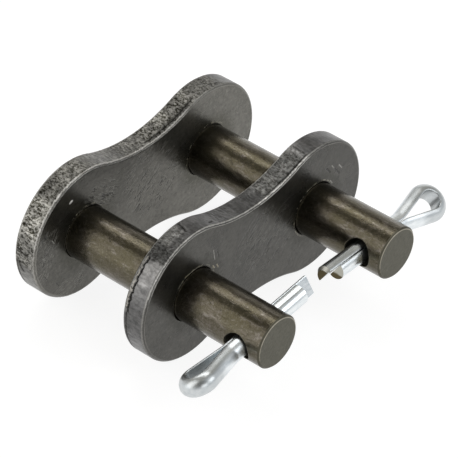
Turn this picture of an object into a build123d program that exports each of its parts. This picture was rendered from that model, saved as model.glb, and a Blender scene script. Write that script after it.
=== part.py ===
from build123d import *
import os
from math import asin, atan2, cos, degrees, hypot, radians, sin, sqrt

# Cottered connecting link of a roller chain, in millimetres.
# +X runs from the left pin to the right pin, the pins' free ends point to -Y and +Z is up.
# The link stands on the long edges of its two plates. The origin is on the surface it stands on,
# midway between the pins and midway along them.

# ---- driving sizes ----
pitch = 25.4                    # distance between the two pin axes

plate_height = 20.6             # across the round ends of a plate
waist_height = 15.5             # across the narrow middle of a plate
plate_thickness = 3.6
plate_edge_radius = 0.35        # rounding along both faces' outlines
plate_hole_edge_radius = 0.2    # rounding of the holes' rims
plate_gap = 16.2                # between the plates, as the front plate stands on the pins

pin_diameter = 7.94
pin_free_length = 14.7          # pin in front of the front plate
pin_end_chamfer = 0.25
plate_running_clearance = 0.06  # front plate's holes over the pins, on the radius

rivet_overhang = 0.63           # upset head's rim beyond the pin, on the radius
rivet_height = 1.3
rivet_crown_radius = 0.7
rivet_dimple_diameter = 2.4     # mark of the riveting punch
rivet_dimple_depth = 0.3

cross_hole_clearance = 1.35     # cross hole's diameter over the wire's width
cross_hole_from_end = 3.95      # hole axis to the pin's free end
cross_hole_edge_radius = 0.1    # rounding of the mouths
left_hole_slope = 12.0          # degrees, eye side down
right_hole_slope = 1.0

wire_width = 2.9                # half-round wire, across its flat
wire_corner_radius = 0.15
leg_gap = 0.1                   # between the flats of the two legs
neck_radius = 3.0               # bend from each leg into the eye, on the flat
neck_beyond_pin = 1.4           # from the pin's surface to where the legs part
eye_reach = 6.27                # from there to the middle of the eye's round end
eye_inner_radius = 1.43
left_tip_to_middle = 1.7        # long leg's tip to halfway between the pins, along the leg
right_tip_to_middle = 1.55
short_tip_to_middle = 3.95      # and the short leg's, on both cotters
right_point_length = 0.6        # half blunt cone at the right long leg's tip
right_point_narrowing = 0.45    # off the radius, at the end of that cone

left_cotter_slope = 6.5         # degrees, eye side down
left_cotter_turn = 30.0         # turn of the eye round the cotter's own axis, upwards at the front
left_cotter_forward = 0.3       # how far the shank lies towards the pin's free end in its hole
left_cotter_drop = 0.1          # and how far down
left_cotter_pull = -0.15        # and how far it is drawn out towards its eye
right_cotter_slope = 1.0
right_cotter_turn = -33.0
right_cotter_forward = 0.0
right_cotter_drop = 0.0
right_cotter_pull = 0.15

# ---- places that follow from them ----
axis_height = plate_height / 2
end_radius = plate_height / 2
pin_radius = pin_diameter / 2
rivet_radius = pin_radius + rivet_overhang
cross_hole_radius = (wire_width + cross_hole_clearance) / 2
left_leg_reach = pitch / 2 - left_tip_to_middle     # long leg, from the pin's axis
right_leg_reach = pitch / 2 - right_tip_to_middle
short_leg_reach = pitch / 2 - short_tip_to_middle
pin_length = rivet_height + 2 * plate_thickness + plate_gap + pin_free_length
pin_back_y = pin_length / 2
pin_free_y = -pin_length / 2
back_plate_back_y = pin_back_y - rivet_height
front_plate_front_y = pin_free_y + pin_free_length
front_plate_back_y = front_plate_front_y + plate_thickness
cross_hole_y = pin_free_y + cross_hole_from_end


def facing_free_end(x, y):
    """A plane at a height of the pin axes, facing the pins' free ends, with local x along the pitch."""
    return Plane(origin=(x, y, axis_height), x_dir=(1, 0, 0), z_dir=(0, -1, 0))


def plate_outline():
    """The waisted outline: two round ends joined by hollow arcs tangent to them."""
    half_pitch, waist = pitch / 2, waist_height / 2
    hollow_radius = (half_pitch**2 + waist**2 - end_radius**2) / (2 * (end_radius - waist))
    hollow_centre = waist + hollow_radius
    share = end_radius / (end_radius + hollow_radius)
    tangent_x, tangent_z = half_pitch * (1 - share), hollow_centre * share
    top_left, top_right = (-tangent_x, tangent_z), (tangent_x, tangent_z)
    low_left, low_right = (-tangent_x, -tangent_z), (tangent_x, -tangent_z)
    return make_face([
        ThreePointArc(top_left, (0, waist), top_right),
        ThreePointArc(top_right, (half_pitch + end_radius, 0), low_right),
        ThreePointArc(low_right, (0, -waist), low_left),
        ThreePointArc(low_left, (-half_pitch - end_radius, 0), top_left),
    ])


def link_plate(back_y, hole_radius, hole_rims):
    """A plate whose back face is at back_y, with rounded outlines and one hole for each pin.

    hole_rims says on which faces the holes' rims are rounded: 0 is the front face and 1 the back one.
    """
    plane = facing_free_end(0, back_y)
    plate = extrude(plane * plate_outline(), amount=plate_thickness)
    faces = plate.faces().sort_by(Axis.Y)
    outlines = faces[0].outer_wire().edges() + faces[-1].outer_wire().edges()
    plate = fillet(outlines, plate_edge_radius)
    holes = Locations((-pitch / 2, 0), (pitch / 2, 0)) * Circle(hole_radius)
    plate -= extrude(plane * Sketch(holes), amount=plate_thickness)
    circles = plate.edges().filter_by(GeomType.CIRCLE).filter_by(lambda edge: edge.radius == hole_radius)
    rims = circles.group_by(Axis.Y)
    return fillet([edge for face in hole_rims for edge in rims[face]], plate_hole_edge_radius)


def hole_direction(side, slope):
    """Unit direction out of a cross hole on the eye's side: -1 for the left pin, +1 for the right."""
    return Vector(side * cos(radians(slope)), 0, -sin(radians(slope)))


def chain_pin(side, slope):
    """A pin with its riveted head, free-end chamfer and rounded cross hole."""
    free_end = rivet_height - pin_length
    half_profile = Polyline(
        (0, free_end), (pin_radius - pin_end_chamfer, free_end), (pin_radius, free_end + pin_end_chamfer),
        (pin_radius, 0), (rivet_radius, 0), (rivet_radius, rivet_height), (0, rivet_height), close=True)
    half_profile = make_face(half_profile)
    crown = half_profile.vertices().sort_by(Axis.Y)[-2:].sort_by(Axis.X)[-1]
    half_profile = fillet(crown, rivet_crown_radius)
    x = side * pitch / 2
    profile_plane = Plane(origin=(x, back_plate_back_y, axis_height), x_dir=(0, 0, 1), z_dir=(-1, 0, 0))
    pin = revolve(profile_plane * half_profile, Axis((x, back_plate_back_y, axis_height), (0, 1, 0)))
    punch_radius = (rivet_dimple_diameter**2 / 4 + rivet_dimple_depth**2) / (2 * rivet_dimple_depth)
    pin -= Pos(x, pin_back_y - rivet_dimple_depth + punch_radius, axis_height) * Sphere(punch_radius)
    hole_plane = Plane(origin=(x, cross_hole_y, axis_height), x_dir=(0, 1, 0),
                       z_dir=hole_direction(side, slope))
    drilled = pin - hole_plane.location * Cylinder(cross_hole_radius, 2 * pin_diameter)
    mouths = [e for e in drilled.edges() - pin.edges() if e.geom_type != GeomType.LINE]
    return fillet(mouths, cross_hole_edge_radius)


def cotter_path(neck, reach):
    """The line that the middle of the wire's flat follows, from the long leg's tip to the short one's.

    Local x is along the cotter from the pin's axis towards the eye; neck is where the legs part
    and reach is the long leg's length on the other side.
    """
    half_gap = leg_gap / 2
    bend_to_eye = hypot(eye_reach, half_gap + neck_radius)
    taper = asin((neck_radius + eye_inner_radius) / bend_to_eye) - atan2(half_gap + neck_radius, eye_reach)
    arm = sqrt(bend_to_eye**2 - (neck_radius + eye_inner_radius) ** 2)
    taper_deg = degrees(taper)
    low_leg = Line((-reach, -half_gap), (neck, -half_gap))
    low_neck = JernArc(low_leg @ 1, low_leg % 1, neck_radius, -taper_deg)
    low_arm = Line(low_neck @ 1, low_neck @ 1 + arm * (low_neck % 1))
    eye = JernArc(low_arm @ 1, low_arm % 1, eye_inner_radius, 180 + 2 * taper_deg)
    high_arm = Line(eye @ 1, eye @ 1 + arm * (eye % 1))
    high_neck = JernArc(high_arm @ 1, high_arm % 1, neck_radius, -taper_deg)
    high_leg = Line(high_neck @ 1, (-short_leg_reach, half_gap))
    return Wire([low_leg, low_neck, low_arm, eye, high_arm, high_neck, high_leg])


def wire_section():
    """Half-round section with its flat's middle at the origin and its back towards local -x."""
    half = wire_width / 2
    section = make_face([Line((0, -half), (0, half)), ThreePointArc((0, half), (-half, 0), (0, -half))])
    return fillet(section.vertices(), wire_corner_radius)


def point_cutter():
    """What is ground off the right long leg's tip to leave half a blunt cone round the cotter's axis."""
    tip = Plane(origin=(-right_leg_reach, 0, 0), x_dir=(0, 1, 0), z_dir=(1, 0, 0))
    full_radius = wire_width / 2 + leg_gap
    standing = (Align.CENTER, Align.CENTER, Align.MIN)
    cone = Cone(full_radius - right_point_narrowing, full_radius, right_point_length, align=standing)
    block = Box(2 * wire_width, 2 * wire_width, right_point_length, align=standing)
    return tip.location * (block - cone)


def cotter_wire(reach):
    """A split pin along local x, its legs' flats facing each other across y, with square tips."""
    path = cotter_path(pin_radius + neck_beyond_pin, reach)
    start = Plane(origin=path @ 0, x_dir=(0, 1, 0), z_dir=(1, 0, 0))
    return sweep(start * wire_section(), path=path)


def cotter_place(side, slope, turn, forward, drop, pull):
    """Where a cotter lies: through a pin's cross hole, its eye outside and its legs towards the middle."""
    outward = hole_direction(side, slope)
    upward = Vector(sin(radians(slope)) * side, 0, cos(radians(slope)))
    front_leg = -cos(radians(turn)) * Vector(0, 1, 0) + sin(radians(turn)) * upward
    middle = Vector(side * pitch / 2, cross_hole_y - forward, axis_height - drop) + pull * outward
    return Plane(origin=middle, x_dir=outward, z_dir=outward.cross(front_leg)).location


def save(shape, node):
    shape.label = node
    export_step(shape, f"parts/{node}.step")


os.makedirs("parts", exist_ok=True)
save(link_plate(back_plate_back_y, pin_radius, hole_rims=[0]), "back_plate")
save(link_plate(front_plate_back_y, pin_radius + plate_running_clearance, hole_rims=[0, 1]), "front_plate")
save(chain_pin(-1, left_hole_slope), "left_pin")
save(chain_pin(1, right_hole_slope), "right_pin")
left_place = cotter_place(-1, left_cotter_slope, left_cotter_turn,
                          left_cotter_forward, left_cotter_drop, left_cotter_pull)
right_place = cotter_place(1, right_cotter_slope, right_cotter_turn,
                           right_cotter_forward, right_cotter_drop, right_cotter_pull)
save(left_place * cotter_wire(left_leg_reach), "left_cotter_pin")
save(right_place * (cotter_wire(right_leg_reach) - point_cutter()), "right_cotter_pin")
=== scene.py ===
"""Looks of a cottered chain link: dark blanked plates, brown ground pins and bright split cotters."""

import math

import bpy
import numpy as np
from mathutils import Matrix, Vector, geometry, noise


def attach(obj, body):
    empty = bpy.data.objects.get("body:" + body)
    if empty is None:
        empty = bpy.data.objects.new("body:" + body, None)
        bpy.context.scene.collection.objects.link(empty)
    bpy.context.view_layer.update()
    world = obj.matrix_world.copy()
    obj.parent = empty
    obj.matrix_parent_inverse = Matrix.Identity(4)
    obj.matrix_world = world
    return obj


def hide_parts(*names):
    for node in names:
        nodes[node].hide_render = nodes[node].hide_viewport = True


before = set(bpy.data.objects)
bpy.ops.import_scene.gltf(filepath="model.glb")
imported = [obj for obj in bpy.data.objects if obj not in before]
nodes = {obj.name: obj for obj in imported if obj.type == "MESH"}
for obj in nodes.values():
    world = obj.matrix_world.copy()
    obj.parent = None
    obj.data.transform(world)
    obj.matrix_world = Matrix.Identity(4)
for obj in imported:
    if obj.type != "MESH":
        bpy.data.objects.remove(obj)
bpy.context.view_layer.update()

MM = 0.001
MM_PER_M = 1000.0

# The link's own measures, in millimetres, as in its CAD source.
PIN_X = 12.7
AXIS_Z = 10.3
PIN_RADIUS = 3.97
PLATE_HOLE_CLEARANCE = 0.06
END_RADIUS = 10.3
HALF_WAIST = 7.75
THICKNESS = 3.6
FRONT_PLATE_Y = -5.0  # the front plate's front face
BACK_PLATE_Y = 14.8  # and the back plate's
LEFT_LONG_REACH = 11.15  # from the pin's axis to the long leg's tip
RIGHT_LONG_REACH = 11.0
LEFT_SLOPE = math.radians(6.5)  # of the cotters, tips up
RIGHT_SLOPE = math.radians(1.0)
COTTER_Y = -15.9  # midway between the two cotters' axes


# ---- node graphs ----

UNTURNED = (0.0, 0.0, 0.0)
UNSTRETCHED = (1.0, 1.0, 1.0)
STROKE_CORE = 0.3  # share of a stroke's width that is full


class Graph:
    """The node tree of a material or world. A value may be a number, a colour or a node's socket."""

    def __init__(self, owner):
        owner.use_nodes = True
        self.tree = owner.node_tree
        self.tree.nodes.clear()

    def node(self, kind, **settings):
        made = self.tree.nodes.new("ShaderNode" + kind)
        for name, value in settings.items():
            setattr(made, name, value)
        return made

    def put(self, socket, value):
        if isinstance(value, bpy.types.NodeSocket):
            self.tree.links.new(value, socket)
        elif isinstance(value, (tuple, list)) and len(value) == 3 and socket.type == "RGBA":
            socket.default_value = (*value, 1.0)
        else:
            socket.default_value = value

    def made(self, kind, *values, **settings):
        """The first output of a new node, whose inputs take the values in their order."""
        node = self.node(kind, **settings)
        for socket, value in zip(node.inputs, values):
            self.put(socket, value)
        return node.outputs[0]

    def surface(self, kind, shader):
        """Ends the tree with an output node of this kind."""
        self.put(self.node(kind).inputs["Surface"], shader)

    def math(self, operation, first, second=0.0):
        return self.made("Math", first, second, operation=operation)

    def times(self, first, second):
        return self.math("MULTIPLY", first, second)

    def minus(self, first, second):
        return self.math("SUBTRACT", first, second)

    def apart(self, first, second):
        return self.math("ABSOLUTE", self.minus(first, second))

    def vector(self, operation, first, second=(0.0, 0.0, 0.0)):
        made = self.node("VectorMath", operation=operation)
        self.put(made.inputs[0], first)
        self.put(made.inputs[1], second)
        return made.outputs["Value" if operation in ("DOT_PRODUCT", "LENGTH") else "Vector"]

    def scaled(self, value, amount):
        """A vector times a number."""
        made = self.node("VectorMath", operation="SCALE")
        self.put(made.inputs[0], value)
        self.put(made.inputs["Scale"], amount)
        return made.outputs["Vector"]

    def parts(self, value):
        made = self.node("SeparateXYZ")
        self.put(made.inputs[0], value)
        return made.outputs["X"], made.outputs["Y"], made.outputs["Z"]

    def joined(self, x, y, z):
        return self.made("CombineXYZ", x, y, z)

    def span(self, value, low, high, to_low=0.0, to_high=1.0, smooth=True):
        """value taken from low..high to to_low..to_high and held there."""
        made = self.node("MapRange", interpolation_type="SMOOTHSTEP" if smooth else "LINEAR")
        self.put(made.inputs["Value"], value)
        numbers = {"From Min": low, "From Max": high, "To Min": to_low, "To Max": to_high}
        for name, number in numbers.items():
            made.inputs[name].default_value = number
        return made.outputs["Result"]

    def between(self, data_type, first_input, output, share, first, second):
        made = self.node("Mix", data_type=data_type)
        self.put(made.inputs["Factor"], share)
        self.put(made.inputs[first_input], first)
        self.put(made.inputs[first_input + 1], second)
        return made.outputs[output]

    def mix(self, share, first, second):
        """The colour first at share 0 and second at share 1."""
        return self.between("RGBA", 6, 2, share, first, second)

    def blend(self, share, first, second):
        """The number first at share 0 and second at share 1."""
        return self.between("FLOAT", 2, 0, share, first, second)


class Surface(Graph):
    """A material with one Principled shader. place is a point's place on its object, in millimetres."""

    def __init__(self, name):
        self.material = bpy.data.materials.new(name)
        super().__init__(self.material)
        self.shader = self.node("BsdfPrincipled")
        self.surface("OutputMaterial", self.shader.outputs["BSDF"])
        coordinates = self.node("TexCoord")
        self.place = self.scaled(coordinates.outputs["Object"], MM_PER_M)
        self.normal = coordinates.outputs["Normal"]

    def stretched(self, turn=UNTURNED, scale=UNSTRETCHED, move=(0.0, 0.0, 0.0), place=None):
        """The place, or a given one, stretched, turned by degrees and moved."""
        made = self.node("Mapping", vector_type="POINT")
        self.put(made.inputs["Vector"], place or self.place)
        made.inputs["Rotation"].default_value = [math.radians(angle) for angle in turn]
        made.inputs["Scale"].default_value = scale
        made.inputs["Location"].default_value = move
        return made.outputs["Vector"]

    def noise(self, place, *shape):
        """shape is the grains per millimetre, detail, roughness and distortion."""
        made = self.node("TexNoise")
        self.put(made.inputs["Vector"], place)
        for name, value in zip(("Scale", "Detail", "Roughness", "Distortion"), shape):
            made.inputs[name].default_value = value
        return made.outputs["Fac"]

    def attribute(self, name):
        return self.node("Attribute", attribute_name=name).outputs["Fac"]

    def bump(self, height, depth):
        """A bump whose height of 1 stands for depth millimetres."""
        made = self.node("Bump")
        made.inputs["Strength"].default_value = 1.0
        made.inputs["Distance"].default_value = depth * MM
        self.put(made.inputs["Height"], height)
        return made.outputs["Normal"]

    def stroke(self, start, end, width):
        """1 on the line from start to end, each (x, z), and 0 a width away from it."""
        way = Vector((end[0] - start[0], 0.0, end[1] - start[1]))
        from_start = self.vector("SUBTRACT", self.place, (start[0], 0.0, start[1]))
        from_start = self.vector("MULTIPLY", from_start, (1.0, 0.0, 1.0))
        along = self.vector("DOT_PRODUCT", from_start, way.normalized())
        along = self.math("MINIMUM", self.math("MAXIMUM", along, 0.0), way.length)
        nearest = self.scaled(way.normalized(), along)
        off = self.vector("LENGTH", self.vector("SUBTRACT", from_start, nearest))
        return self.span(off, width, STROKE_CORE * width)

    def set(self, **values):
        for name, value in values.items():
            self.put(self.shader.inputs[name.replace("_", " ").title()], value)


# ---- plates' shapes ----

# The plates are blanked from thick strip: flat faces, rolled rims and an edge that is partly smooth and
# partly torn. Lengths are in millimetres. "run" is the distance along a plate's outline from the middle
# of its upper waist, positive towards the right pin. "depth" is the distance behind its front face.

HOLLOW_RADIUS = (PIN_X**2 + HALF_WAIST**2 - END_RADIUS**2) / (2 * (END_RADIUS - HALF_WAIST))
HOLLOW_CENTRE = HALF_WAIST + HOLLOW_RADIUS
HOLLOW_TURN = math.asin(PIN_X / (END_RADIUS + HOLLOW_RADIUS))
HOLLOW_RUN = HOLLOW_TURN * HOLLOW_RADIUS
END_RUN = (math.pi / 2 + HOLLOW_TURN) * END_RADIUS
QUARTER_RUN = HOLLOW_RUN + END_RUN

STATION = 0.1  # mesh spacing along the outline
ROW = 0.1  # and through the thickness
FINE_FROM = 2.5  # behind this depth the rows are finer, as a ragged groove needs it
FINE_ROW = 0.055
RIM_ROWS = 8
FLAT_MARGIN = 0.06  # flat strip inside each rim, so that the faces shade flat
RIM_FULLNESS = 1.5  # 2 is an ellipse and 1 a flat bevel
WIDE_RIM_SOFT = 1.5  # shoulders of a wider stretch of rim, along the run
BACK_RIM_INSET = 0.3
BACK_RIM_DEPTH = 0.28
HOLE_RIM = 0.2
HOLE_RIM_FULLNESS = 2.0
HOLE_STATIONS = 144
HOLE_RIM_SHARES = (0.0, 0.65, 0.75, 0.8, 0.85, 1.0)  # rim share of each row, from face to bore
HOLE_RIM_ROWS = len(HOLE_RIM_SHARES) - 1

TEAR_GRAINS = (0.34, 0.55, 0.34)
TEAR_OCTAVES = 4
TEAR_DEPTH = 0.17
TEAR_RISE = (-0.5, 0.6)  # the tear field from which the surface is pitted, and at which fully so
JAG_GRAINS = (0.5, 0.8, 0.5)
JAG_OCTAVES = 3
JAG_SEED = 7.0  # added to a plate's own seed
FRACTAL = (0.8, 2.0)  # increment and lacunarity
ZONE_JAG = 0.35  # how far a zone's border wanders along the run
ZONE_DEPTH_SOFT = 0.25
RIM_WAVE = 0.03
WAVE_RISE = (-0.2, 0.8)  # the jag field from which a rim with wear and painted highlight is hollowed, and at which fully so
LEAST_WEAR_AND_HIGHLIGHT = 0.05  # wear and painted highlight of a rim that no row below names
BACK_WEAR_AND_HIGHLIGHT = 0.5  # wear and painted highlight of the back rim, against the front one's
HOLE_RIM_HIGHLIGHT_TURNS = (1.3, 3.4)  # radians, from +X over the top: where a hole's rim gets its painted highlight
HOLE_RIM_HIGHLIGHT_SOFT = 0.3
ALL = (-1.0, 5.0)  # through the whole thickness

# What a plate's mesh carries at each point, for its material: 1 on the edge, the share across a rim, how
# torn, how light, how much painted shade lies in its cuts (below 0 is a pale line), how worn and highlit its
# rim is (real wear and painted highlight) and how deeply pitted.
SHARES = ("edge", "rim", "torn", "tone", "cut_shade_and_pale_line", "wear_and_highlight", "pit")


def rising(low, high, value):
    """0 below low, 1 above high, and smooth between them."""
    share = np.clip((value - low) / (high - low), 0.0, 1.0)
    return share * share * (3.0 - 2.0 * share)


def plateau(value, low, high, soft):
    """1 between low and high and 0 outside, with soft shoulders."""
    return rising(low - soft, low + soft, value) * (1.0 - rising(high - soft, high + soft, value))


def outline(run):
    """Where the outline is at each run, about the axis height, and its outward direction there."""
    below = np.abs(run) > QUARTER_RUN
    way = np.where(below, 2.0 * QUARTER_RUN - np.abs(run), np.abs(run))
    hollow = way < HOLLOW_RUN
    turn = way / HOLLOW_RADIUS
    angle = math.pi / 2 + HOLLOW_TURN - (way - HOLLOW_RUN) / END_RADIUS
    x = np.where(hollow, HOLLOW_RADIUS * np.sin(turn), PIN_X + END_RADIUS * np.cos(angle))
    z = np.where(hollow, HOLLOW_CENTRE - HOLLOW_RADIUS * np.cos(turn), END_RADIUS * np.sin(angle))
    out_x = np.where(hollow, -np.sin(turn), np.cos(angle))
    out_z = np.where(hollow, np.cos(turn), np.sin(angle))
    side = np.where(run < 0.0, -1.0, 1.0)
    rise = np.where(below, -1.0, 1.0)
    return x * side, z * rise, out_x * side, out_z * rise


def field(points, sizes, seed, octaves):
    """A smooth random height, about -1 to 1, at each point. sizes are its grains' sizes along x, y, z."""
    scaled = points / np.array(sizes) + np.array((0.0, 0.0, seed))
    heights = [noise.fractal(Vector(place), *FRACTAL, octaves) for place in scaled.reshape(-1, 3)]
    return np.array(heights).reshape(points.shape[:-1])


def stroke(run, depth, shaky, start, end, width):
    """1 along the line from start to end, each (run, depth), falling to 0 at about its width."""
    way = np.array(end) - np.array(start)
    length = np.hypot(*way)
    along = ((run - start[0]) * way[0] + (depth - start[1]) * way[1]) / length
    off = ((depth - start[1]) * way[0] - (run - start[0]) * way[1]) / length
    beyond = np.maximum(np.maximum(-along, along - length), 0.0)
    return np.exp(-((off + shaky) ** 2 + beyond**2) / width**2)


def rim_curve(rows, fullness):
    """(inset, depth) shares of a rolled rim, from the face at (1, 0) to the edge at (0, 1)."""
    angle = np.linspace(0.0, math.pi / 2, rows + 1)
    power = 2.0 / fullness
    return 1.0 - np.sin(angle) ** power, 1.0 - np.cos(angle) ** power


def edge_grid(rim_inset, rim_depth):
    """Depth, inset, edge share and rim share of every (row, station) of the outline's edge.

    The edge share is 0 on the faces and 1 on the edge; the rim share rises evenly across a rim, 0 to 1.
    """
    inset_share, depth_share = rim_curve(RIM_ROWS, RIM_FULLNESS)
    rim_share = np.linspace(0.0, 1.0, RIM_ROWS + 1)
    back_start = THICKNESS - BACK_RIM_DEPTH
    level = np.concatenate([
        np.arange(rim_depth.mean() + ROW, FINE_FROM, ROW),
        np.arange(FINE_FROM, back_start - FINE_ROW / 2, FINE_ROW),
    ])
    level = (level - rim_depth.mean()) / (back_start - rim_depth.mean())
    ones = np.ones_like(rim_inset)
    rows = [(0.0 * ones, rim_inset + FLAT_MARGIN, 0.0, 0.0)]
    for inset, depth, rim in zip(inset_share, depth_share, rim_share):
        rows.append((rim_depth * depth, rim_inset * inset, 1.0 - inset, rim))
    for share in level:
        rows.append((rim_depth + (back_start - rim_depth) * share, 0.0 * ones, 1.0, 1.0))
    for inset, depth, rim in reversed(list(zip(inset_share, depth_share, rim_share))):
        behind = (THICKNESS - BACK_RIM_DEPTH * depth) * ones
        rows.append((behind, BACK_RIM_INSET * inset * ones, 1.0 - inset, rim))
    rows.append((THICKNESS * ones, (BACK_RIM_INSET + FLAT_MARGIN) * ones, 0.0, 0.0))
    depth, inset = (np.array([row[k] for row in rows]) for k in (0, 1))
    edge, rim = (np.array([row[k] for row in rows])[:, None] * ones for k in (2, 3))
    return depth, inset, edge, rim


def hole_grid(radius):
    """Depth, radius and rim share of a hole's rows, from face to face. The bore's rim share is 1."""
    inset_share, depth_share = rim_curve(HOLE_RIM_ROWS, HOLE_RIM_FULLNESS)
    rows = [(0.0, radius + HOLE_RIM + FLAT_MARGIN, 0.0)]
    for inset, depth, rim in zip(inset_share, depth_share, HOLE_RIM_SHARES):
        rows.append((HOLE_RIM * depth, radius + HOLE_RIM * inset, rim))
    for depth, out, rim in reversed(rows[:]):
        rows.append((THICKNESS - depth, out, rim))
    return np.array(rows).T


def quads(first, rows, stations):
    """Faces of a closed band of rows whose vertices start at first."""
    row, station = np.meshgrid(np.arange(rows - 1), np.arange(stations), indexing="ij")
    after = (station + 1) % stations
    corners = [row * stations + station, row * stations + after,
               (row + 1) * stations + after, (row + 1) * stations + station]
    return (first + np.stack(corners, -1)).reshape(-1, 4).tolist()


def filling(points, loops, facing):
    """Triangles that fill the first loop round the others. facing is -1 for a front face, 1 for a back."""
    flat = [[Vector((points[i][0], points[i][2], 0.0)) for i in loop] for loop in loops]
    joined = [i for loop in loops for i in loop]
    made = []
    for triangle in geometry.tessellate_polygon(flat):
        a, b, c = (joined[i] for i in triangle)
        first, second = points[b] - points[a], points[c] - points[a]
        turned = first[2] * second[0] - first[0] * second[2]
        made.append((a, b, c) if turned * facing > 0.0 else (a, c, b))
    return made


def edge_zones(looks, runs, depth, jitter):
    """How torn and how light each point of the edge is."""
    torn, tone = np.zeros_like(depth), np.ones_like(depth)
    shaken = runs + ZONE_JAG * jitter
    for start, end, soft, shallow, deep, tearing, lightness in looks["zones"]:
        share = plateau(shaken, start, end, soft) * plateau(depth, shallow, deep, ZONE_DEPTH_SOFT)
        torn = torn + (tearing - torn) * share
        tone = tone + (lightness - tone) * share
    return torn, tone


def rim_wear_and_highlight(looks, runs, depth):
    """How worn and highlit the rim is at each point: real wear and painted highlight."""
    wear_and_highlight = np.full_like(depth, LEAST_WEAR_AND_HIGHLIGHT)
    for start, end, soft, amount in looks["worn_and_highlit_rims"]:
        wear_and_highlight = wear_and_highlight + (amount - wear_and_highlight) * plateau(runs, start, end, soft)
    return np.where(depth > THICKNESS / 2, BACK_WEAR_AND_HIGHLIGHT * wear_and_highlight, wear_and_highlight)


def edge_strokes(looks, runs, depth, jitter):
    """How much painted shade lies in each point's cuts (below 0, a pale line), and how deep its cuts are."""
    cut_shade_and_pale_line, cut = np.zeros_like(depth), np.zeros_like(depth)
    for start, end, width, deep, dark, jag in looks["strokes"]:
        share = stroke(runs, depth, jag * jitter, start, end, width)
        cut_shade_and_pale_line = np.where(np.abs(dark * share) > np.abs(cut_shade_and_pale_line), dark * share, cut_shade_and_pale_line)
        cut = np.maximum(cut, deep * share)
    return cut_shade_and_pale_line, cut


def edge_band(front_y, looks, seed):
    """The points of the outline's edge, by (row, station), and their shares."""
    stations = round(4.0 * QUARTER_RUN / STATION)
    run = (np.arange(stations) + 0.5) / stations * 4.0 * QUARTER_RUN - 2.0 * QUARTER_RUN
    x, z, out_x, out_z = outline(run)
    rim_inset, rim_depth = (np.full_like(run, usual) for usual in looks["rim"])
    for start, end, inset, depth in looks["wide_rims"]:
        share = plateau(run, start, end, WIDE_RIM_SOFT)
        rim_inset = rim_inset + inset * share
        rim_depth = rim_depth + depth * share
    depth, inset, edge, rim = edge_grid(rim_inset, rim_depth)
    runs = run[None, :] + 0.0 * depth
    points = np.stack([x - out_x * inset, front_y + depth, AXIS_Z + z - out_z * inset], -1)
    tear = field(points, TEAR_GRAINS, seed, TEAR_OCTAVES)
    jitter = field(points, JAG_GRAINS, seed + JAG_SEED, JAG_OCTAVES)

    torn, tone = edge_zones(looks, runs, depth, jitter)
    wear_and_highlight = rim_wear_and_highlight(looks, runs, depth)
    cut_shade_and_pale_line, cut = edge_strokes(looks, runs, depth, jitter)
    pit = rising(*TEAR_RISE, tear)
    wave = wear_and_highlight * RIM_WAVE * rising(*WAVE_RISE, jitter) * np.sin(math.pi * rim) ** 2
    sink = edge**2 * (torn * TEAR_DEPTH * pit + cut) + wave
    points[..., 0] -= out_x * sink
    points[..., 2] -= out_z * sink
    return points, dict(zip(SHARES, (edge, rim, torn, tone, cut_shade_and_pale_line, wear_and_highlight, pit)))


def hole_band(front_y, pin_x, hole_radius):
    """The same for one hole, its rims and its bore. Shares that it doesn't name are 0."""
    turn = np.arange(HOLE_STATIONS) / HOLE_STATIONS * 2.0 * math.pi
    depth, radius, rim = (row[:, None] for row in hole_grid(hole_radius))
    across = pin_x + radius * np.cos(turn)
    points = np.stack([across, front_y + depth + 0.0 * turn, AXIS_Z + radius * np.sin(turn)], -1)
    # Painted highlight on the side of each hole's rim that faces up and to the left.
    wear_and_highlight = plateau(turn, *HOLE_RIM_HIGHLIGHT_TURNS, HOLE_RIM_HIGHLIGHT_SOFT)
    return points, {"rim": rim, "tone": 1.0, "wear_and_highlight": wear_and_highlight}


def added(name, data):
    """A new object in the scene."""
    made = bpy.data.objects.new(name, data)
    bpy.context.scene.collection.objects.link(made)
    return made


def make_plate(name, front_y, hole_radius, looks, seed):
    """A plate's whole surface. looks says what its edge is like along the run and through its depth."""
    bands = [edge_band(front_y, looks, seed)]
    bands += [hole_band(front_y, pin_x, hole_radius) for pin_x in (-PIN_X, PIN_X)]
    faces, front_loops, back_loops = [], [], []
    first = 0
    for points, shares in bands:
        rows, stations = points.shape[:2]
        faces += quads(first, rows, stations)
        after = first + rows * stations
        front_loops.append(range(first, first + stations))
        back_loops.append(range(after - stations, after))
        first = after
    points = np.concatenate([band.reshape(-1, 3) for band, shares in bands])
    faces += filling(points, front_loops, -1.0)
    faces += filling(points, back_loops, 1.0)

    mesh = bpy.data.meshes.new(name)
    mesh.from_pydata((points * MM).tolist(), [], faces)
    mesh.shade_smooth()
    for key in SHARES:
        made = mesh.attributes.new(key, "FLOAT", "POINT")
        share = [np.broadcast_to(shares.get(key, 0.0), band.shape[:2]).ravel() for band, shares in bands]
        made.data.foreach_set("value", np.concatenate(share).astype(np.float32))
    return added(name, mesh)
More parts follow.
